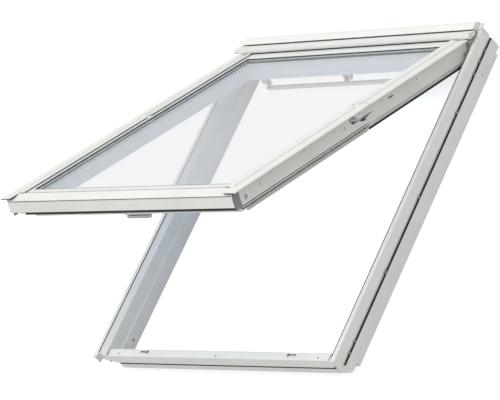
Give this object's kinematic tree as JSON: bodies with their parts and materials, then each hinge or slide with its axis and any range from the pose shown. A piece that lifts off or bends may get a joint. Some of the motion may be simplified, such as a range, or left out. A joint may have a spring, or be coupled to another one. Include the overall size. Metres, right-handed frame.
{
  "type": "roof window",
  "caption": "Top-hung roof window on its frame, held open about 30 degrees, with a centre pivot for cleaning, a control bar, a lever handle and a barrel bolt.",
  "frame": {"origin": "centre of the frame's inner face, which lies in the plane Z = 0", "axes": "+X across the window, +Y up the roof slope, +Z out of the roof"},
  "size_m": [0.942, 1.178, 0.6774],
  "materials": {
    "white_core": "white lacquered polyurethane over timber, satin",
    "white_metal": "off-white powder coat, satin",
    "white_plastic": "white moulded plastic, satin",
    "seal": "black extruded rubber, matt",
    "steel": "zinc plated steel",
    "bare_aluminium": "anodised aluminium, satin",
    "glass": "clear insulating glass, faint blue-green tint"
  },
  "bodies": {
    "frame": {"frame_side_left": "white_core", "frame_side_right": "white_core", "frame_bottom": "white_core", "frame_bottom_cover": "white_metal", "frame_bottom_seal": "seal", "striker_plates": "white_metal", "frame_top": "white_core", "frame_cover_left": "white_metal", "frame_cover_right": "white_metal", "frame_cover_upper": "white_metal", "frame_end_caps": "white_plastic", "frame_side_seals": "seal", "groove_clips": "white_plastic", "corner_plates": "white_metal", "hood": "white_metal", "hood_caps": "white_plastic", "frame_hinges": "steel", "hinge_pins": "steel", "frame_screws": "steel", "bolt_bush": "white_plastic"},
    "arms": {"arm_left": "white_metal", "arm_right": "white_metal", "spring_cartridges": "steel", "arm_skirt_left": "white_metal", "arm_skirt_right": "white_metal", "arm_seals": "seal", "arm_screws": "steel", "arm_crossbar": "bare_aluminium", "arm_casing": "white_metal", "casing_corners": "white_plastic", "pivot_caps": "white_plastic", "upper_cover_left": "white_metal", "upper_cover_right": "white_metal", "pivot_track_left": "steel", "pivot_track_right": "steel"},
    "sash": {"lower_cover_left": "white_metal", "lower_cover_right": "white_metal", "bottom_cover": "white_metal", "sash_rail_bottom": "white_core", "sash_rail_left": "white_core", "sash_rail_right": "white_core", "sash_rail_top": "white_core", "glass_unit": "glass", "glass_seat": "seal", "glazing_seal": "seal", "glazing_cap": "white_metal", "side_filler_left": "white_metal", "side_filler_right": "white_metal", "sash_seals": "seal", "sash_screws": "steel", "front_seal": "seal", "sash_corner_blocks": "white_plastic", "pivot_shoes": "steel", "bar_brackets": "white_plastic", "handle_plate": "white_plastic"},
    "barrel_bolt": {"barrel_bolt": "steel"},
    "handle": {"handle": "steel"},
    "lock_rod_left": {"lock_rod_left": "steel"},
    "lock_rod_right": {"lock_rod_right": "steel"},
    "control_bar": {"control_bar": "bare_aluminium"}
  },
  "joints": [
    {"name": "sash_opening", "type": "hinge", "parent": "frame", "child": "arms", "pos_m": [0, 0.541, 0.112], "axis": [-1, 0, 0], "range_deg": [-30.34, 14.66]},
    {"name": "sash_pivot", "type": "hinge", "parent": "arms", "child": "sash", "pos_m": [0, 0.08533, 0.3736], "axis": [-1, 0, 0], "range_deg": [0, 165]},
    {"name": "bolt_slide", "type": "slide", "parent": "sash", "child": "barrel_bolt", "axis": [-1, 0, 0], "range_m": [0, 0.014]},
    {"name": "handle_turn", "type": "hinge", "parent": "sash", "child": "handle", "pos_m": [-0.039, -0.4148, 0.56436], "axis": [0, 0.5051, 0.863], "range_deg": [0, 90]},
    {"name": "left_rod_slide", "type": "slide", "parent": "sash", "child": "lock_rod_left", "axis": [-1, 0, 0], "range_m": [0, 0.014]},
    {"name": "right_rod_slide", "type": "slide", "parent": "sash", "child": "lock_rod_right", "axis": [1, 0, 0], "range_m": [0, 0.014]},
    {"name": "bar_pull", "type": "hinge", "parent": "sash", "child": "control_bar", "pos_m": [0, 0.42887, 0.05782], "axis": [1, 0, 0], "range_deg": [0, 35]}
  ],
  "couplings": [
    {"joint": "left_rod_slide", "follows": "handle_turn", "m_per_rad": 0.0089},
    {"joint": "right_rod_slide", "follows": "handle_turn", "m_per_rad": 0.0089}
  ]
}
